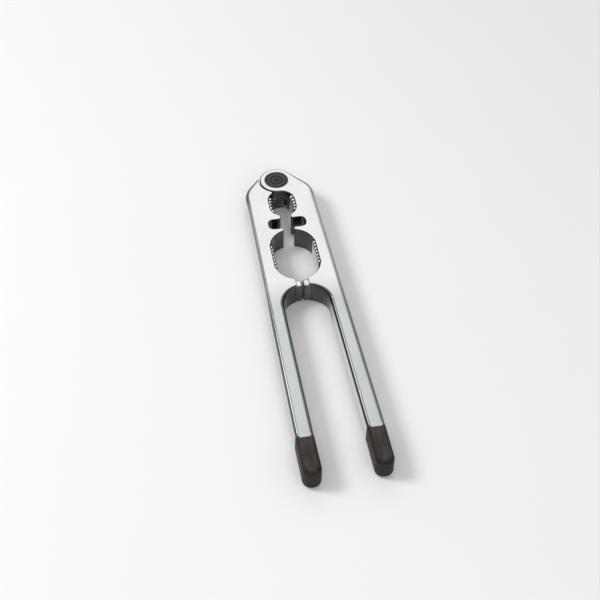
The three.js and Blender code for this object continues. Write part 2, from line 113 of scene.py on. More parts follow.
# Lap joint and its bores
LAP_GAP = 0.5 * MM
LAP_SEAT_CLEARANCE = 0.6 * MM
LAP_SEAT_CORNER_RADIUS = 1.2 * MM
BAY_CLEARANCE = 0.02 * MM
SHANK_BORE_RADIUS = 3.1 * MM
HEAD_BORE_RADIUS = 4.8 * MM
HEAD_BORE_DEPTH = 1.5 * MM

# Caps
CAP_RADIUS = 5.9 * MM
CAP_THICKNESS = 1.5 * MM
CAP_GAP = 0.07 * MM
CAP_EDGE = 0.3 * MM
CAP_HUB_RADIUS = 0.6 * MM
CAP_GROOVES = 3
CAP_GROOVE_PITCH = 1.9 * MM
CAP_GROOVE_WIDTH = 0.85 * MM
CAP_GROOVE_DEPTH = 0.25 * MM
CAP_PROFILE_STEPS = 120

# Jaw strips
TOOTH_PITCH = 2.15 * MM
TOOTH_DEPTH = 0.75 * MM
TOOTH_CREST_SHARE = 0.28
TOOTH_CREST_RADIUS = 0.16 * MM
TOOTH_ROOT_RADIUS = 0.1 * MM
JAW_CHAMFER = 0.6 * MM
JAW_CHAMFER_STEPS = 4
JAW_INSET = 0.4 * MM
JAW_EDGE = 0.1 * MM
JAW_GAP = 0.3 * MM
JAW_SEAT_DEPTH = 0.25 * MM
JAW_SEAT_CORNER_RADIUS = 0.3 * MM
JAW_STEP = 0.3 * MM
WALNUT_TEETH = 7
WALNUT_JAW_STAND = 1.2 * MM
HAZELNUT_TEETH = 5
HAZELNUT_JAW_STAND = 1.4 * MM
HAZELNUT_JAW_BOW = 0.85 * MM

# Grip tips
TANG_LENGTH = 13 * MM
TANG_WIDTH = 4 * MM
TANG_HEIGHT = 7 * MM
TIP_LENGTH = 18.2 * MM
TIP_FLARE = 0.1 * MM
TIP_END_FLAT = 0.84 * MM
TIP_EDGE = 2.4 * MM
TIP_CLEARANCE = 0.05 * MM
TIP_COLLAR = 6 * MM

# Places that follow from the sizes above
HAZELNUT_TOP = -EYE_RADIUS - HAZELNUT_RADIUS
HAZELNUT_BOTTOM = HAZELNUT_TOP - HAZELNUT_STRAIGHT
SLOT_TOP = HAZELNUT_BOTTOM - HAZELNUT_RADIUS - UPPER_NECK
SLOT_BOTTOM = SLOT_TOP - SLOT_WIDTH
WALNUT_TOP = SLOT_BOTTOM - LOWER_NECK - WALNUT_RADIUS
WALNUT_BOTTOM = WALNUT_TOP - WALNUT_STRAIGHT
NOSE_TOP = WALNUT_BOTTOM - WALNUT_RADIUS
ARCH_Y = NOSE_TOP - NOSE_WIDTH - ARCH_RADIUS
HANDLE_END = ARCH_Y - HANDLE_LENGTH
HANDLE_END_INNER = HANDLE_END_OUTER - HANDLE_END_WIDTH
TIP_END = HANDLE_END - TIP_LENGTH
TIP_CORNER_RADIUS = HANDLE_END_WIDTH / 2 + TIP_FLARE - TIP_END_FLAT / 2
LAP_PLANE = (THICKNESS + LAP_GAP) / 2
LAP_SEAT_RADIUS = EYE_RADIUS + LAP_SEAT_CLEARANCE
HEAD_CORNER_X = HEAD_HALF_WIDTH - HEAD_CORNER_RADIUS
HEAD_CORNER_Y = (
    EYE_RADIUS - HEAD_CORNER_RADIUS - HEAD_CORNER_X * math.cos(SHOULDER_ANGLE)
) / math.sin(SHOULDER_ANGLE)

JAWS = {
    "walnut": {
        "wall": WALNUT_RADIUS, "middle": (WALNUT_TOP + WALNUT_BOTTOM) / 2, "teeth": WALNUT_TEETH,
        "stand": WALNUT_JAW_STAND, "bow": 0},
    "hazelnut": {
        "wall": HAZELNUT_RADIUS, "middle": (HAZELNUT_TOP + HAZELNUT_BOTTOM) / 2, "teeth": HAZELNUT_TEETH,
        "stand": HAZELNUT_JAW_STAND, "bow": HAZELNUT_JAW_BOW},
}

# The left side is the right one turned over about its long axis.
TURN_OVER = Matrix.Translation((0, 0, THICKNESS)) @ Matrix.Rotation(math.pi, 4, "Y")

# Range in which most of a noise lies
NOISE_RANGE = (0.3, 0.7)

# Casts, by which a tone from 0, black, to 1, white, is multiplied for red, green and blue
NEUTRAL = (1, 1, 1)
HEAD_CHROME = (0.98, 1, 0.99)
HANDLE_CHROME = (0.94, 1, 0.97)
TIP_BROWN = (1.22, 1, 0.88)

# Flatness, from 0 on an upright wall to 1 on a level face, over which a finish and its painted shade change
FLATS_BY_EYE = (0.9, 0.997)
FLATS_ELSEWHERE = (0.7, 0.985)
WALLS_ON_FLANKS = (0.52, 0.2)
WALLS_ELSEWHERE = (0.18, 0.03)
SMOOTHER_ROUNDINGS = (0.985, 0.9)
TIP_FACES = (0.75, 0.97)

# Satin chrome, each pair the two ends of a range
HEAD_TONES = (0.82, 0.90)
HANDLE_TONES = (0.62, 0.70)
# Painted shade: roundings darkened in colour, lighter on the flanks of the head
ROUNDING_SHADE_TONES = (0.10, 0.14)
FLANK_ROUNDING_SHADE_TONE = 0.28
SIDE_TONES = (0.66, 0.78)
# Painted shade: walls in the pockets darkened in colour
POCKET_SHADE_TONES = (0.09, 0.15)
FLAT_POWER = 3.0
POCKET_FADE = 2 * MM
EYE_FADE = 1 * MM
BRUSH_SIZE = 0.25 * MM
BRUSH_STRETCH = (1, 30, 1)
BRUSH_DEPTH = 0.0015 * MM
CHROME_CLOUDS = 9 * MM
CHROME_CLOUD_STRETCH = (1, 2.5, 1)
RIPPLE_SIZE = 3.5 * MM
RIPPLE_DEPTH = 0.006 * MM
BRUSH_AND_CLOUDS = (0.7, 1.3)
CHROME_ROUGHNESS = (0.2, 0.3)
POLISH = 0.12

# Steel of the jaws and the rivet
TOOTH_TONES = (0.84, 0.94)
# Painted shade in the roots between the teeth
ROOT_SHADE_TONE = 0.12
CREST_WEAR_AND_ROOT_SHADE_RANGE = (0.55, 0.85)
TOOTH_CLOUDS = 2 * MM
MILLING_SIZE = 0.12 * MM
MILLING_STRETCH = (1, 1, 20)
JAW_ROUGHNESS = (0.45, 0.2)
RIVET_TONES = (0.42, 0.55)
TURNING_SIZE = 0.2 * MM
RIVET_ROUGHNESS = (0.3, 0.42)
TOOL_MARK_DEPTH = 0.002 * MM

# Cap plastic, with the crests' fade in shares of the grooves' pitch
CREST_TONES = (0.044, 0.068)
# Painted shade in the grooves of the cap, lifted towards its rim
GROOVE_SHADE_TONE = 0.018
CREST_FADE = (0.36, 0.14)
RIM_FADE = (0.72 * CAP_RADIUS, 0.8 * CAP_RADIUS)
# Towards the rim smoother, and with the painted groove shade lifted
RIM_WEAR_AND_SHADE_LIFT = (0, 0.7)
CAP_CLOUDS = 3 * MM
CAP_GRAIN = 0.09 * MM
CAP_GRAIN_DEPTH = 0.006 * MM
CAP_ROUGHNESS = (0.7, 0.4)
CAP_SPECULAR = 0.3

# Tip plastic
TIP_FACE_TONES = (0.030, 0.052)
# Painted shade on the edges and sides of the tips
TIP_EDGE_SHADE_TONES = (0.012, 0.020)
TIP_CLOUDS = 2.2 * MM
TIP_CLOUD_STRETCH = (1, 2.5, 1)
MOTTLE_RANGE = (0.35, 0.65)
TIP_GRAIN = 0.22 * MM
TIP_GRAIN_DEPTH = 0.015 * MM
TIP_ROUGHNESS = (0.5, 0.65)
TIP_SPECULAR = 0.2

# Floor
FLOOR_HALF = 3.0
FLOOR_TONES = (0.88, 0.90)
FLOOR_CLOUDS = 60 * MM
FLOOR_ROUGHNESS = 0.7

# Camera, at the photograph's viewing angle
CAMERA_PLACE = Vector((-76.5, -448.6, 425.5)) * MM
CAMERA_AIM = Vector((-3.3, -82.15, 12)) * MM
CAMERA_ROLL = math.radians(0.86)
CAMERA_LENS = 72.9
CAMERA_SENSOR = 36
CAMERA_CLIP = (0.01, 20)

# Light, in metres and watts
LIGHT_AIM = Vector((0, -85, 0)) * MM
WORLD_LIGHT = 0.5
AREA_LIGHTS = {
    "far_softbox": {
        "place": (0.0, 0.9, 1.0), "size": (0.95, 0.9), "power": 1.49},
    "near_softbox": {
        "place": (0.1, -1.0, 0.9), "size": (0.9, 0.7), "power": 3.6, "mirrored": False},
    "near_card": {
        "place": (0.1, -0.9, 0.84), "size": (0.8, 0.65), "power": 1.1, "lighting": False},
    "key": {
        "place": (-0.75, 0.1, 0.8), "size": (0.35, 0.35), "power": 6, "mirrored": False},
    "left_card": {
        "place": (-0.679, 0.505, 0.479), "size": (0.17, 0.29), "power": 0.85, "lighting": False},
    "low_left_card": {
        "place": (-0.59, 0.649, 0.319), "size": (0.11, 0.22), "power": 0.075, "lighting": False},
    "right_card": {
        "place": (0.54, 0.67, 0.31), "size": (0.22, 0.36), "power": 0.124, "lighting": False},
}
FLAG_PLACE = (0.1, 0.85, 0.0)
FLAG_SIZE = (0.75, 0.42)
FLAG_TONE = 0.08


# Outlines, drawn like a belt round circles

def metal(x, y, radius, edge=0.0, first_edge=None):
    """A round corner of metal: the edge rounding that it is left with, and the one it is reached with."""
    first_edge = edge if first_edge is None else first_edge
    return {
        "x": x, "y": y, "radius": radius, "edge": edge, "first_edge": first_edge, "turn": 1, "taper": 0.0}


def hollow(x, y, radius, edge=0.0, taper=0.0):
    """A round bay in the metal. Along the taper after it, its edge rounding goes over to the next one."""
    return {"x": x, "y": y, "radius": radius, "edge": edge, "turn": -1, "taper": taper}


def tangent_heading(a, b):
    """Heading of the straight line that leaves circle a and arrives at circle b, metal on its left."""
    dx = b["x"] - a["x"]
    dy = b["y"] - a["y"]
    shift = (b["turn"] * b["radius"] - a["turn"] * a["radius"]) / math.hypot(dx, dy)
    return math.atan2(dy, dx) - math.asin(max(-1.0, min(1.0, shift)))


def belt_stretch(before, circle, after):
    """Points (x, y, outward x, outward y, edge rounding) round one circle."""
    start = tangent_heading(before, circle)
    leave = tangent_heading(circle, after)
    full = 2 * math.pi
    sweep = (circle["turn"] * (leave - start) + ANGLE_NOISE) % full - ANGLE_NOISE
    steps = max(1, math.ceil(sweep / (2 * math.acos(1 - SAG / circle["radius"]))))
    share = np.linspace(0, 1, steps + 1)
    outward = start + circle["turn"] * sweep * share - math.pi / 2
    nx, ny = np.cos(outward), np.sin(outward)
    reach = circle["turn"] * circle["radius"]
    first_edge = before["edge"] if circle["turn"] < 0 else circle["first_edge"]
    edge = first_edge + (circle["edge"] - first_edge) * share
    points = np.column_stack([circle["x"] + reach * nx, circle["y"] + reach * ny, nx, ny, edge])
    if circle["taper"] > 0:
        last = points[-1].copy()
        last[0] += circle["taper"] * math.cos(leave)
        last[1] += circle["taper"] * math.sin(leave)
        last[4] = after["first_edge"]
        points = np.vstack([points, last])
    return points


def belt_outline(circles):
    """A closed outline, anticlockwise, drawn like a belt round its circles."""
    count = len(circles)
    points = np.vstack([
        belt_stretch(circles[i - 1], circles[i], circles[(i + 1) % count]) for i in range(count)])
    apart = np.linalg.norm(np.roll(points, -1, axis=0)[:, :2] - points[:, :2], axis=1)
    return points[apart > SAG]


def stepped(outline, step):
    """The outline with points added, so that none lies further than a step from the next."""
    points = []
    for here, after in zip(outline, np.roll(outline, -1, axis=0)):
        parts = math.ceil(math.dist(here[:2], after[:2]) / step)
        points += [here + (after - here) * part / parts for part in range(parts)]
    return np.array(points)


# Meshes

def mesh_object(name, vertices, faces):
    mesh = bpy.data.meshes.new(name)
    mesh.from_pydata([tuple(v) for v in vertices], [], faces)
    mesh.validate()
    made = bpy.data.objects.new(name, mesh)
    bpy.context.scene.collection.objects.link(made)
    return made


def lofted(name, outline, levels):
    """A solid with one ring per level. A level is (inset, height), each one number or one per point."""
    count = len(outline)
    x, y, nx, ny = outline[:, :4].T
    rings = [np.column_stack([x - nx * inset, y - ny * inset, height + 0 * x]) for inset, height in levels]
    faces = [
        (ring * count + i, ring * count + (i + 1) % count,
         (ring + 1) * count + (i + 1) % count, (ring + 1) * count + i)
        for ring in range(len(rings) - 1) for i in range(count)]
    top = (len(rings) - 1) * count
    faces.append(tuple(reversed(range(count))))
    faces.append(tuple(range(top, top + count)))
    return mesh_object(name, np.vstack(rings), faces)


def rounded_plate(name, circles, low, high):
    """A flat plate between two heights, with its edges rounded over above and below."""
    outline = belt_outline(circles)
    edge = outline[:, 4]
    angles = np.linspace(0, math.pi / 2, EDGE_STEPS + 1)
    below = [(edge * (1 - math.sin(a)), low + edge * (1 - math.cos(a))) for a in angles]
    above = [(edge * (1 - math.sin(a)), high - edge * (1 - math.cos(a))) for a in angles[::-1]]
    return lofted(name, outline, below + above)


def mouth_cutter(name, circles, low, high):
    """A straight cutter whose lower mouth is chamfered where it leaves the metal at height low."""
    flare = RIM_CHAMFER + OVERRUN
    return lofted(name, belt_outline(circles), [(-flare, low - OVERRUN), (0, low + RIM_CHAMFER), (0, high)])


def rounded_block(name, x, y, z, radius, edge):
    """A plate with four round corners between pairs of x, y and z."""
    inner_x = (x[0] + radius, x[1] - radius)
    inner_y = (y[0] + radius, y[1] - radius)
    corners = [(0, 1), (0, 0), (1, 0), (1, 1)]
    circles = [metal(inner_x[i], inner_y[j], radius, edge) for i, j in corners]
    return rounded_plate(name, circles, *z)


def turned(name, profile):
    """A solid turned about the pivot axis from (radius, height) pairs that start and end on it."""
    angles = np.arange(TURN_STEPS) * 2 * math.pi / TURN_STEPS
    ring_profile = profile[1:-1]
    vertices = [(r * math.cos(a), r * math.sin(a), h) for r, h in ring_profile for a in angles]
    start, end = len(vertices), len(vertices) + 1
    vertices += [(0, 0, profile[0][1]), (0, 0, profile[-1][1])]
    faces = []
    for i in range(TURN_STEPS):
        after = (i + 1) % TURN_STEPS
        faces.append((start, after, i))
        for ring in range(len(ring_profile) - 1):
            low, high = ring * TURN_STEPS, (ring + 1) * TURN_STEPS
            faces.append((low + i, low + after, high + after, high + i))
        last = (len(ring_profile) - 1) * TURN_STEPS
        faces.append((last + i, last + after, end))
    return mesh_object(name, vertices, faces)


def block(name, x, y, z):
    corners = [(x[i], y[j], z[k]) for k in (0, 1) for i, j in ((0, 0), (1, 0), (1, 1), (0, 1))]
    sides = [(i, (i + 1) % 4, (i + 1) % 4 + 4, i + 4) for i in range(4)]
    return mesh_object(name, corners, [(3, 2, 1, 0), (4, 5, 6, 7), *sides])


def combined(body, joined=(), cut=()):
    """The body with some solids joined to it and others cut from it."""
    for operation, tools in (("UNION", joined), ("DIFFERENCE", cut)):
        for tool in tools:
            step = body.modifiers.new(operation, "BOOLEAN")
            step.operation = operation
            step.solver = "EXACT"
            step.object = tool
    bpy.context.view_layer.update()
    graph = bpy.context.evaluated_depsgraph_get()
    body.data = bpy.data.meshes.new_from_object(body.evaluated_get(graph))
    body.modifiers.clear()
    for tool in (*joined, *cut):
        bpy.data.objects.remove(tool)
    return body


# Pieces in the right side's place

def corner_beside(bay, half_gap, radius):
    """Height, from a bay's centre, of a round corner that touches it and reaches out to x = half_gap."""
    return math.sqrt((bay["radius"] + radius) ** 2 - (half_gap + radius) ** 2)


def bay_half_chord(bay, half_gap):
    """Height of a bay's wall above its centre at x = half_gap."""
    return math.sqrt(bay["radius"] ** 2 - half_gap ** 2)


def neck_radius(high, low):
    """Corner radius of a tongue, smaller where the tongue is thin."""
    return min(NECK_CORNER_RADIUS, NECK_ROUND_SHARE * (high - low))


HAZELNUT_BAYS = [hollow(0, y, HAZELNUT_RADIUS, POCKET_EDGE) for y in (HAZELNUT_TOP, HAZELNUT_BOTTOM)]
WALNUT_BAYS = [hollow(0, y, WALNUT_RADIUS, POCKET_EDGE) for y in (WALNUT_TOP, WALNUT_BOTTOM)]
ARCH_BAY = hollow(0, ARCH_Y, ARCH_RADIUS, ARCH_EDGE, ARCH_EDGE_TAPER)


def upper_neck():
    """Tongue between the hazelnut pocket and the cross slot."""
    bay = HAZELNUT_BAYS[1]
    high = bay["y"] - bay_half_chord(bay, NECK_HALF_GAP)
    radius = neck_radius(high, SLOT_TOP)
    x = NECK_HALF_GAP + radius
    top_y = bay["y"] - corner_beside(bay, NECK_HALF_GAP, radius)
    return [metal(x, top_y, radius, POCKET_EDGE), metal(x, SLOT_TOP + radius, radius, POCKET_EDGE)]


def slot_lobe():
    x = SLOT_HALF_LENGTH - SLOT_CORNER_RADIUS
    return [hollow(x, y, SLOT_CORNER_RADIUS, POCKET_EDGE)
            for y in (SLOT_TOP - SLOT_CORNER_RADIUS, SLOT_BOTTOM + SLOT_CORNER_RADIUS)]


def lower_neck():
    """Thin tongue between the cross slot and the walnut pocket."""
    bay = WALNUT_BAYS[0]
    low = bay["y"] + bay_half_chord(bay, NECK_HALF_GAP)
    radius = neck_radius(SLOT_BOTTOM, low)
    edge = min(POCKET_EDGE, radius)
    x = NECK_HALF_GAP + radius
    bottom_y = bay["y"] + corner_beside(bay, NECK_HALF_GAP, radius)
    return [metal(x, SLOT_BOTTOM - radius, radius, edge), metal(x, bottom_y, radius, edge)]


def stop_nose():
    """Nose between the walnut pocket and the arch of the handles."""
    pocket = WALNUT_BAYS[1]
    high = pocket["y"] - bay_half_chord(pocket, NOSE_HALF_GAP)
    low = ARCH_Y + bay_half_chord(ARCH_BAY, NOSE_HALF_GAP)
    radius = neck_radius(high, low)
    x = NOSE_HALF_GAP + radius
    top_y = pocket["y"] - corner_beside(pocket, NOSE_HALF_GAP, radius)
    bottom_y = ARCH_Y + corner_beside(ARCH_BAY, NOSE_HALF_GAP, radius)
    return [metal(x, top_y, radius, POCKET_EDGE), metal(x, bottom_y, radius, POCKET_EDGE)]


def handle_end(clearance=0.0):
    """The two round corners of the handle's end, grown by a clearance."""
    y = HANDLE_END + HANDLE_END_RADIUS
    radius = HANDLE_END_RADIUS + clearance
    side, end = HANDLE_EDGE + clearance, HANDLE_END_EDGE + clearance
    return [metal(HANDLE_END_INNER + HANDLE_END_RADIUS, y, radius, end, side),
            metal(HANDLE_END_OUTER - HANDLE_END_RADIUS, y, radius, side, end)]


def lever_circles():
    """Whole outline of the lever, from its eye down the inner edge and back up the outer edge."""
    return [
        metal(0, 0, EYE_RADIUS, EYE_EDGE), *HAZELNUT_BAYS, *upper_neck(), *slot_lobe(), *lower_neck(),
        *WALNUT_BAYS, *stop_nose(), ARCH_BAY, *handle_end(),
        metal(HEAD_CORNER_X, HEAD_CORNER_Y, HEAD_CORNER_RADIUS, HEAD_EDGE)]


def stop_pad():
    middle = NOSE_TOP - NOSE_WIDTH / 2 - PAD_DROP
    return rounded_block(
        "stop_pad", (PAD_HALF_GAP, PAD_HALF_GAP + PAD_WIDTH),
        (middle - PAD_LENGTH / 2, middle + PAD_LENGTH / 2),
        (PAD_INSET, THICKNESS - PAD_INSET), PAD_ROUND, PAD_ROUND)


def tang():
    middle = (HANDLE_END_INNER + HANDLE_END_OUTER) / 2
    return block(
        "tang", (middle - TANG_WIDTH / 2, middle + TANG_WIDTH / 2),
        (HANDLE_END - TANG_LENGTH, HANDLE_END + HANDLE_END_RADIUS),
        ((THICKNESS - TANG_HEIGHT) / 2, (THICKNESS + TANG_HEIGHT) / 2))


def lap_seat():
    """Room for the other lever's eye, with the corner towards the hazelnut pocket rounded off."""
    to_eye = LAP_SEAT_RADIUS + LAP_SEAT_CORNER_RADIUS
    to_bay = HAZELNUT_RADIUS + LAP_SEAT_CORNER_RADIUS
    y = (HAZELNUT_TOP ** 2 + to_eye ** 2 - to_bay ** 2) / (2 * HAZELNUT_TOP)
    x = math.sqrt(to_eye ** 2 - y ** 2)
    circles = [
        metal(0, 0, LAP_SEAT_RADIUS), hollow(-x, y, LAP_SEAT_CORNER_RADIUS),
        metal(0, HAZELNUT_TOP, HAZELNUT_RADIUS - BAY_CLEARANCE), hollow(x, y, LAP_SEAT_CORNER_RADIUS)]
    return mouth_cutter("lap_seat", circles, 0, LAP_PLANE)


def eye_bore():
    """Bore, rivet head recess and cap recess, in one stepped cutter with a chamfered rim."""
    cap_floor = THICKNESS - CAP_THICKNESS
    head_floor = cap_floor - HEAD_BORE_DEPTH
    rim = THICKNESS - RIM_CHAMFER
    return turned("eye_bore", [
        (0, -OVERRUN), (SHANK_BORE_RADIUS, -OVERRUN), (SHANK_BORE_RADIUS, head_floor),
        (HEAD_BORE_RADIUS, head_floor), (HEAD_BORE_RADIUS, cap_floor), (CAP_RADIUS, cap_floor),
        (CAP_RADIUS, rim), (CAP_RADIUS + RIM_CHAMFER + OVERRUN, THICKNESS + OVERRUN),
        (0, THICKNESS + OVERRUN)])


def jaw_half(jaw):
    return jaw["teeth"] * TOOTH_PITCH / 2


def bowed(jaw, x, y):
    """An x of a straight strip at height y, moved in as the strip bows in with its pocket."""
    return x - jaw["bow"] * ((y - jaw["middle"]) / jaw_half(jaw)) ** 2


def jaw_seat(jaw):
    """Seat in a pocket's wall for a jaw strip, with round corners and chamfered rims."""
    corner = JAW_SEAT_CORNER_RADIUS
    half = jaw_half(jaw) + JAW_GAP - corner
    low, high = jaw["middle"] - half, jaw["middle"] + half
    front = jaw["wall"] - jaw["stand"] - jaw["bow"]
    circles = [metal(front, low, corner)]
    for y in np.linspace(low, high, jaw["teeth"] + 1):
        circles.append(metal(bowed(jaw, jaw["wall"] + JAW_SEAT_DEPTH, y) - corner, y, corner))
    circles.append(metal(front, high, corner))
    flare = RIM_CHAMFER + OVERRUN
    return lofted("jaw_seat", belt_outline(circles), [
        (-flare, -OVERRUN), (0, RIM_CHAMFER), (0, THICKNESS - RIM_CHAMFER), (-flare, THICKNESS + OVERRUN)])


def lever_casting(name):
    body = rounded_plate(name, lever_circles(), 0, THICKNESS)
    seats = [jaw_seat(jaw) for jaw in JAWS.values()]
    return combined(body, joined=[stop_pad(), tang()], cut=[lap_seat(), eye_bore(), *seats])


def jaw_strip(name, jaw):
    """A strip with rounded teeth, chamfered where they meet its top and bottom faces."""
    tip = jaw["wall"] - jaw["stand"]
    root = tip + TOOTH_DEPTH
    back = jaw["wall"] + JAW_SEAT_DEPTH - JAW_GAP
    low, high = jaw["middle"] - jaw_half(jaw), jaw["middle"] + jaw_half(jaw)
    crest = TOOTH_PITCH * TOOTH_CREST_SHARE / 2
    corner = TOOTH_CREST_RADIUS
    circles = [metal(back - corner, low + corner, corner), metal(back - corner, high - corner, corner)]
    for tooth in range(jaw["teeth"]):
        middle = high - (tooth + 0.5) * TOOTH_PITCH
        if tooth > 0:
            circles.append(hollow(root - TOOTH_ROOT_RADIUS, middle + TOOTH_PITCH / 2, TOOTH_ROOT_RADIUS))
        circles += [metal(tip + corner, middle + side * (crest - corner / 2), corner) for side in (1, -1)]
    outline = stepped(belt_outline(circles), JAW_STEP)
    bottom, top = JAW_INSET, THICKNESS - JAW_INSET
    rises = np.linspace(JAW_EDGE, JAW_CHAMFER, JAW_CHAMFER_STEPS)
    levels = [(JAW_EDGE, bottom), *((0, bottom + rise) for rise in rises)]
    levels += [(inset, top - (height - bottom)) for inset, height in reversed(levels)]
    strip = lofted(name, outline, levels)
    for vertex in strip.data.vertices:
        depth = min(vertex.co.z - bottom, top - vertex.co.z)
        vertex.co.x = max(vertex.co.x, tip + max(0, JAW_CHAMFER - depth))
        vertex.co.x = bowed(jaw, vertex.co.x, vertex.co.y)
    return strip


def handle_stub():
    """The handle's last stretch, grown by a clearance, to shape the mouth of the grip tip."""
    root_y = HANDLE_END + TIP_COLLAR + HANDLE_END_WIDTH
    end = handle_end(TIP_CLEARANCE)
    edge = HANDLE_EDGE + TIP_CLEARANCE
    root = [metal(circle["x"], root_y, circle["radius"], edge) for circle in reversed(end)]
    return rounded_plate("handle_stub", [*end, *root], -TIP_CLEARANCE, THICKNESS + TIP_CLEARANCE)


def grip_tip(name):
    radius = TIP_CORNER_RADIUS
    mouth = HANDLE_END + TIP_COLLAR
    end = TIP_END + radius
    mouth_radius = HANDLE_END_RADIUS
    body = rounded_plate(name, [
        metal(HANDLE_END_INNER + mouth_radius, mouth, mouth_radius, HANDLE_EDGE),
        metal(HANDLE_END_INNER - TIP_FLARE + radius, end, radius, TIP_EDGE),
        metal(HANDLE_END_OUTER + TIP_FLARE - radius, end, radius, TIP_EDGE),
        metal(HANDLE_END_OUTER - mouth_radius, mouth, mouth_radius, HANDLE_EDGE)], 0, THICKNESS)
    return combined(body, cut=[handle_stub()])


def cap_sink(radius):
    """How deep the cap's face lies at a radius: down in its grooves, level between them."""
    groove, into = divmod(radius - CAP_HUB_RADIUS, CAP_GROOVE_PITCH)
    if groove not in range(CAP_GROOVES) or into > CAP_GROOVE_WIDTH:
        return 0.0
    return CAP_GROOVE_DEPTH * math.sin(math.pi * into / CAP_GROOVE_WIDTH) ** 2


def pivot_cap(name):
    """Press-in cap, flush with the eye, with grooves round a hub."""
    radius = CAP_RADIUS - CAP_GAP
    bottom = THICKNESS - CAP_THICKNESS + CAP_GAP
    flat = radius - CAP_EDGE
    profile = [(0, bottom), (radius, bottom)]
    for step in range(EDGE_STEPS + 1):
        angle = step / EDGE_STEPS * math.pi / 2
        profile.append((flat + CAP_EDGE * math.cos(angle), THICKNESS - CAP_EDGE * (1 - math.sin(angle))))
    for step in range(1, CAP_PROFILE_STEPS):
        at = flat * (1 - step / CAP_PROFILE_STEPS)
        profile.append((at, THICKNESS - cap_sink(at)))
    profile.append((0, THICKNESS))
    return turned(name, profile)


# Finishes

def colour(tone, cast=NEUTRAL):
    """A tone in a cast, as red, green, blue and full opacity."""
    return (*(tone * part for part in cast), 1)


class Finish:
    """The node tree of one material, with short calls for the nodes that the finishes share."""

    def __init__(self, name):
        self.material = bpy.data.materials.new(name)
        self.material.use_nodes = True
        self.tree = self.material.node_tree
        self.surface = self.tree.nodes["Principled BSDF"]
        self.place = self.tree.nodes.new("ShaderNodeTexCoord").outputs["Object"]

    def feed(self, socket, value):
        if isinstance(value, bpy.types.NodeSocket):
            self.tree.links.new(value, socket)
        else:
            socket.default_value = value

    def node(self, kind, inputs, **settings):
        made = self.tree.nodes.new(kind)
        for key, value in settings.items():
            setattr(made, key, value)
        for key, value in inputs.items():
            self.feed(made.inputs[key], value)
        return made

    def noise(self, size, stretch=(1, 1, 1), detail=2):
        """Smooth noise from 0 to 1 with features of about that size, longer along a stretched axis."""
        spread = tuple(1 / part for part in stretch)
        place = self.node("ShaderNodeMapping", {"Vector": self.place, "Scale": spread}).outputs[0]
        made = self.node("ShaderNodeTexNoise", {"Vector": place, "Scale": 1 / size, "Detail": detail})
        return made.outputs["Fac"]

    def ranged(self, value, along=(0, 1), result=(0, 1)):
        """A number as far from one end of the result to the other as the value is along its own range."""
        return self.node("ShaderNodeMapRange", {
            "Value": value, "From Min": along[0], "From Max": along[1],
            "To Min": result[0], "To Max": result[1],
        }).outputs["Result"]

    def math(self, operation, a, b=0.0):
        return self.node("ShaderNodeMath", {0: a, 1: b}, operation=operation).outputs[0]

    def product(self, first, *others):
        for other in others:
            first = self.math("MULTIPLY", first, other)
        return first

    def split(self, vector):
        """The x, y and z of a vector."""
        return self.node("ShaderNodeSeparateXYZ", {"Vector": vector}).outputs

    def mixed(self, share, a, b):
        """Colour a where share is 0 and colour b where it is 1."""
        made = self.node("ShaderNodeMix", {"Factor": share}, data_type="RGBA")
        self.feed(made.inputs["A"], a)
        self.feed(made.inputs["B"], b)
        return made.outputs["Result"]

    def toned(self, share, tones, cast=NEUTRAL):
        """The first tone where share is 0 and the second where it is 1, both in one cast."""
        return self.mixed(share, *(colour(tone, cast) for tone in tones))

    def range_between(self, share, first, second):
        """The first range where share is 0 and the second where it is 1."""
        return [self.ranged(share, result=ends) for ends in zip(first, second)]

    def bump(self, height, distance, under=None):
        inputs = {"Height": height, "Distance": distance, "Strength": 1.0}
        if under is not None:
            inputs["Normal"] = under
        return self.node("ShaderNodeBump", inputs).outputs["Normal"]

    def flatness(self):
        """1 on faces that look up or down, 0 on upright walls."""
        normal = self.node("ShaderNodeNewGeometry", {}).outputs["Normal"]
        return self.math("ABSOLUTE", self.split(normal)["Z"])

    def set(self, **values):
        """Sets sockets of the surface shader, whose names are given with _ for a space."""
        for key, value in values.items():
            self.feed(self.surface.inputs[key.replace("_", " ")], value)


def casting_zones(finish):
    """How far, from 0 to 1, a point is in a pocket, on a flank of the head, on a handle and by the eye."""
    place = finish.split(finish.place)
    from_middle = finish.math("ABSOLUTE", place["X"])
    within = finish.ranged(from_middle, (WALNUT_RADIUS + POCKET_FADE, WALNUT_RADIUS))
    below_eye = finish.ranged(place["Y"], (EYE_FADE - EYE_RADIUS, -EYE_RADIUS))
    above_arch = finish.ranged(place["Y"], (ARCH_Y - ARCH_RADIUS, ARCH_Y))
    outside = finish.math("SUBTRACT", 1.0, within)
    below_corner = finish.ranged(place["Y"], (HEAD_CORNER_Y, HAZELNUT_BOTTOM))
    above_handle = finish.ranged(place["Y"], (ARCH_Y - ARCH_RADIUS, ARCH_Y + ARCH_RADIUS))
    return {
        "pocket": finish.product(within, below_eye, above_arch),
        "flank": finish.product(outside, below_corner, above_handle),
        "handle": finish.ranged(place["Y"], (NOSE_TOP, ARCH_Y)),
        "eye": finish.ranged(place["Y"], (HEAD_CORNER_Y, 0)),
    }


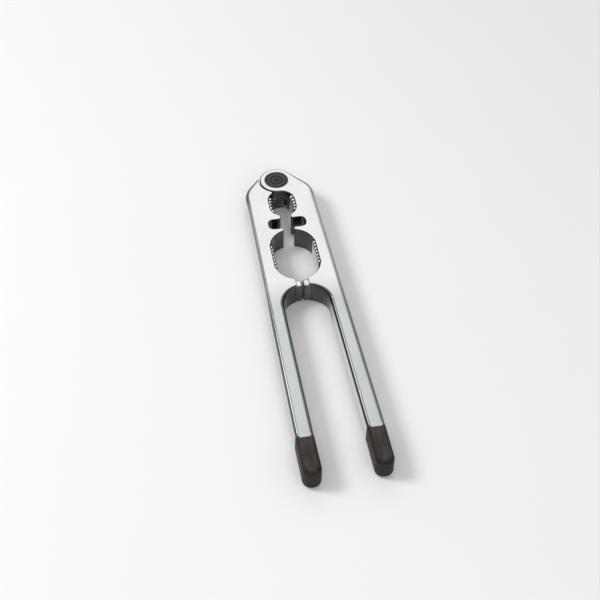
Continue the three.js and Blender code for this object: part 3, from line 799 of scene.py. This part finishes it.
def cast_metal():
    """Satin chrome on a die casting: brushed flats, and painted shade on the roundings and pocket walls.

    The head's flats are a brighter tone than the handles', and the painted shade on the roundings of its
    flanks is lighter than elsewhere. Flats give way to the painted shade of the roundings sooner beside the
    eye than elsewhere.
    """
    finish = Finish("satin_chrome")
    brushing = finish.noise(BRUSH_SIZE, BRUSH_STRETCH, detail=3)
    clouds = finish.noise(CHROME_CLOUDS, CHROME_CLOUD_STRETCH)
    ripple = finish.noise(RIPPLE_SIZE)
    flatness = finish.flatness()
    zones = casting_zones(finish)
    flat_range = finish.range_between(zones["eye"], FLATS_ELSEWHERE, FLATS_BY_EYE)
    wall_range = finish.range_between(zones["flank"], WALLS_ELSEWHERE, WALLS_ON_FLANKS)
    flat = finish.math("POWER", finish.ranged(flatness, flat_range), FLAT_POWER)
    wall = finish.ranged(flatness, wall_range)
    streaks = finish.ranged(brushing, NOISE_RANGE)
    head = finish.toned(streaks, HEAD_TONES, HEAD_CHROME)
    handle = finish.toned(streaks, HANDLE_TONES, HANDLE_CHROME)
    flats = finish.mixed(zones["handle"], head, handle)
    # Painted shade: dark tones on the roundings and on the walls in the pockets
    dark = finish.toned(clouds, ROUNDING_SHADE_TONES)
    roundings = finish.mixed(zones["flank"], dark, colour(FLANK_ROUNDING_SHADE_TONE))
    sides = finish.toned(clouds, SIDE_TONES)
    walls = finish.mixed(zones["pocket"], sides, finish.toned(clouds, POCKET_SHADE_TONES))
    upright = finish.mixed(wall, roundings, walls)
    finish.set(Base_Color=finish.mixed(flat, upright, flats), Metallic=1.0)
    rough = finish.ranged(finish.math("ADD", brushing, clouds), BRUSH_AND_CLOUDS, CHROME_ROUGHNESS)
    polish = finish.ranged(flatness, SMOOTHER_ROUNDINGS, (0, POLISH))
    finish.set(Roughness=finish.math("SUBTRACT", rough, polish))
    waves = finish.bump(ripple, RIPPLE_DEPTH)
    finish.set(Normal=finish.bump(brushing, BRUSH_DEPTH, waves))
    return finish.material


def jaw_steel(nut):
    """Steel of one pair of jaw strips: the teeth smoother on their crests, the roots between them painted
    dark as shade.
    """
    jaw = JAWS[nut]
    finish = Finish(f"{nut}_jaw_steel")
    milling = finish.noise(MILLING_SIZE, MILLING_STRETCH)
    clouds = finish.noise(TOOTH_CLOUDS)
    along = finish.split(finish.place)["Y"]
    teeth = finish.math("DIVIDE", finish.math("SUBTRACT", along, jaw["middle"] - jaw_half(jaw)), TOOTH_PITCH)
    crest = finish.math("SINE", finish.math("MULTIPLY", finish.math("FRACT", teeth), math.pi))
    # Crests smoother from wear; the roots between them painted dark as shade
    crest_wear_and_root_shade = finish.ranged(crest, CREST_WEAR_AND_ROOT_SHADE_RANGE)
    bright = finish.toned(clouds, TOOTH_TONES)
    finish.set(Base_Color=finish.mixed(crest_wear_and_root_shade, colour(ROOT_SHADE_TONE), bright), Metallic=1.0)
    finish.set(Roughness=finish.ranged(crest_wear_and_root_shade, result=JAW_ROUGHNESS))
    finish.set(Normal=finish.bump(milling, TOOL_MARK_DEPTH))
    return finish.material


def rivet_steel():
    finish = Finish("rivet_steel")
    turning = finish.noise(TURNING_SIZE, detail=3)
    finish.set(Base_Color=finish.toned(turning, RIVET_TONES), Metallic=1.0)
    finish.set(Roughness=finish.ranged(turning, NOISE_RANGE, RIVET_ROUGHNESS))
    finish.set(Normal=finish.bump(turning, TOOL_MARK_DEPTH))
    return finish.material


def cap_plastic():
    """Charcoal moulded plastic, smoother on the crests of its rings and towards its rim, and painted dark as
    shade in its grooves, less so towards the rim.
    """
    finish = Finish("charcoal_plastic")
    grain = finish.noise(CAP_GRAIN, detail=3)
    clouds = finish.noise(CAP_CLOUDS)
    place = finish.split(finish.place)
    squares = [finish.product(place[axis], place[axis]) for axis in "XY"]
    radius = finish.math("SQRT", finish.math("ADD", *squares))
    outward = finish.math("SUBTRACT", radius, CAP_HUB_RADIUS + CAP_GROOVE_WIDTH / 2)
    phase = finish.math("FRACT", finish.math("DIVIDE", outward, CAP_GROOVE_PITCH))
    from_crest = finish.math("ABSOLUTE", finish.math("SUBTRACT", phase, 0.5))
    crests = finish.ranged(from_crest, CREST_FADE)
    rim = finish.ranged(radius, RIM_FADE, RIM_WEAR_AND_SHADE_LIFT)
    # Crests and rim smoother from wear and free of the painted shade of the grooves
    crest_wear_and_groove_shade = finish.math("MAXIMUM", crests, rim)
    tone = finish.mixed(crest_wear_and_groove_shade, colour(GROOVE_SHADE_TONE), finish.toned(clouds, CREST_TONES))
    finish.set(Base_Color=tone, Specular_IOR_Level=CAP_SPECULAR)
    finish.set(Roughness=finish.ranged(crest_wear_and_groove_shade, result=CAP_ROUGHNESS))
    finish.set(Normal=finish.bump(grain, CAP_GRAIN_DEPTH))
    return finish.material


def tip_plastic():
    """Soft brown-black plastic with a leather-fine grain, its edges and sides painted darker as shade."""
    finish = Finish("soft_dark_plastic")
    grain = finish.noise(TIP_GRAIN, detail=4)
    clouds = finish.noise(TIP_CLOUDS, TIP_CLOUD_STRETCH, detail=3)
    mottle = finish.ranged(clouds, MOTTLE_RANGE)
    face = finish.toned(mottle, TIP_FACE_TONES, TIP_BROWN)
    # Painted shade: darker tone on the edges and sides
    edge = finish.toned(mottle, TIP_EDGE_SHADE_TONES, TIP_BROWN)
    flat = finish.ranged(finish.flatness(), TIP_FACES)
    finish.set(Base_Color=finish.mixed(flat, edge, face), Specular_IOR_Level=TIP_SPECULAR)
    finish.set(Roughness=finish.ranged(clouds, NOISE_RANGE, TIP_ROUGHNESS))
    finish.set(Normal=finish.bump(grain, TIP_GRAIN_DEPTH))
    return finish.material


def floor_paint():
    finish = Finish("pale_floor")
    clouds = finish.noise(FLOOR_CLOUDS)
    finish.set(Base_Color=finish.toned(clouds, FLOOR_TONES), Roughness=FLOOR_ROUGHNESS)
    return finish.material


# Assembly

def dressed(piece, node, body, material):
    """Gives a piece its shading, its material, the body that it rides on and the node that it replaces."""
    mesh = piece.data
    mesh.shade_smooth()
    mesh.set_sharp_from_angle(angle=SHARP_ANGLE)
    mesh.materials.clear()
    mesh.materials.append(material)
    shading = piece.modifiers.new("even_shading", "WEIGHTED_NORMAL")
    shading.keep_sharp = True
    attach(piece, body)
    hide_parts(node)


def build_side(side, body, cap_node, place, finishes):
    """One side of the tool, made in the right side's place and moved to its own."""
    pieces = [
        (lever_casting(f"{side}_casting"), f"{side}_lever", "cast_metal", finishes["casting"]),
        (pivot_cap(f"{cap_node}_rings"), cap_node, "cap_plastic", finishes["cap"]),
        (grip_tip(f"{side}_soft_tip"), f"{side}_grip_tip", "tip_plastic", finishes["tip"]),
    ]
    for nut, jaw in JAWS.items():
        strip = jaw_strip(f"{side}_{nut}_teeth", jaw)
        pieces.append((strip, f"{side}_{nut}_jaw", "jaw_steel", finishes[nut]))
    for piece, node, slot, material in pieces:
        piece.data.transform(place)
        dressed(piece, node, body, material)


def build_floor():
    half = FLOOR_HALF
    corners = [(-half, -half, 0), (half, -half, 0), (half, half, 0), (-half, half, 0)]
    floor = mesh_object("floor", corners, [(0, 1, 2, 3)])
    floor.data.materials.append(floor_paint())


def area_light(name, place, size, power, mirrored=True, lighting=True):
    """A light turned to the part, which may be lit by it, mirror it, or both."""
    data = bpy.data.lights.new(name, "AREA")
    data.shape = "RECTANGLE"
    data.size, data.size_y = size
    data.energy = power
    light = bpy.data.objects.new(name, data)
    light.location = place
    light.rotation_mode = "QUATERNION"
    light.rotation_quaternion = (LIGHT_AIM - Vector(place)).to_track_quat("-Z", "Y")
    light.visible_camera = False
    light.visible_glossy = mirrored
    light.visible_diffuse = lighting
    bpy.context.scene.collection.objects.link(light)


def gray_flag():
    """An upright gray card out of view, which the far roundings mirror as their contour."""
    half, height = FLAG_SIZE[0] / 2, FLAG_SIZE[1]
    corners = [(-half, 0, 0), (half, 0, 0), (half, 0, height), (-half, 0, height)]
    flag = mesh_object("far_flag", corners, [(0, 1, 2, 3)])
    flag.location = FLAG_PLACE
    finish = Finish("far_flag")
    finish.set(Base_Color=colour(FLAG_TONE), Roughness=1.0)
    flag.data.materials.append(finish.material)
    flag.visible_camera = False
    flag.visible_diffuse = False
    flag.visible_shadow = False


def build_lights():
    for name, light in AREA_LIGHTS.items():
        area_light(name, **light)
    gray_flag()
    world = bpy.data.worlds.new("studio")
    world.use_nodes = True
    background = world.node_tree.nodes["Background"]
    background.inputs["Color"].default_value = colour(1)
    background.inputs["Strength"].default_value = WORLD_LIGHT
    bpy.context.scene.world = world
    bpy.context.scene.view_settings.view_transform = "Standard"


def build_camera():
    data = bpy.data.cameras.new("camera")
    data.lens = CAMERA_LENS
    data.sensor_width = CAMERA_SENSOR
    data.clip_start, data.clip_end = CAMERA_CLIP
    camera = bpy.data.objects.new("camera", data)
    camera.location = CAMERA_PLACE
    look = (CAMERA_AIM - CAMERA_PLACE).to_track_quat("-Z", "Y")
    camera.rotation_mode = "QUATERNION"
    camera.rotation_quaternion = look @ Matrix.Rotation(CAMERA_ROLL, 4, "Z").to_quaternion()
    bpy.context.scene.collection.objects.link(camera)
    bpy.context.scene.camera = camera


def build():
    build_camera()
    build_lights()
    build_floor()
    finishes = {
        "casting": cast_metal(),
        "walnut": jaw_steel("walnut"),
        "hazelnut": jaw_steel("hazelnut"),
        "cap": cap_plastic(),
        "tip": tip_plastic(),
    }
    build_side("right", "right_side", "front_cap", Matrix.Identity(4), finishes)
    build_side("left", "left_side", "rear_cap", TURN_OVER, finishes)
    steel = rivet_steel()
    for node in ("pivot_rivet", "rivet_washer", "lap_washer"):
        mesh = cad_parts[node].data
        mesh.materials.clear()
        mesh.materials.append(steel)


build()
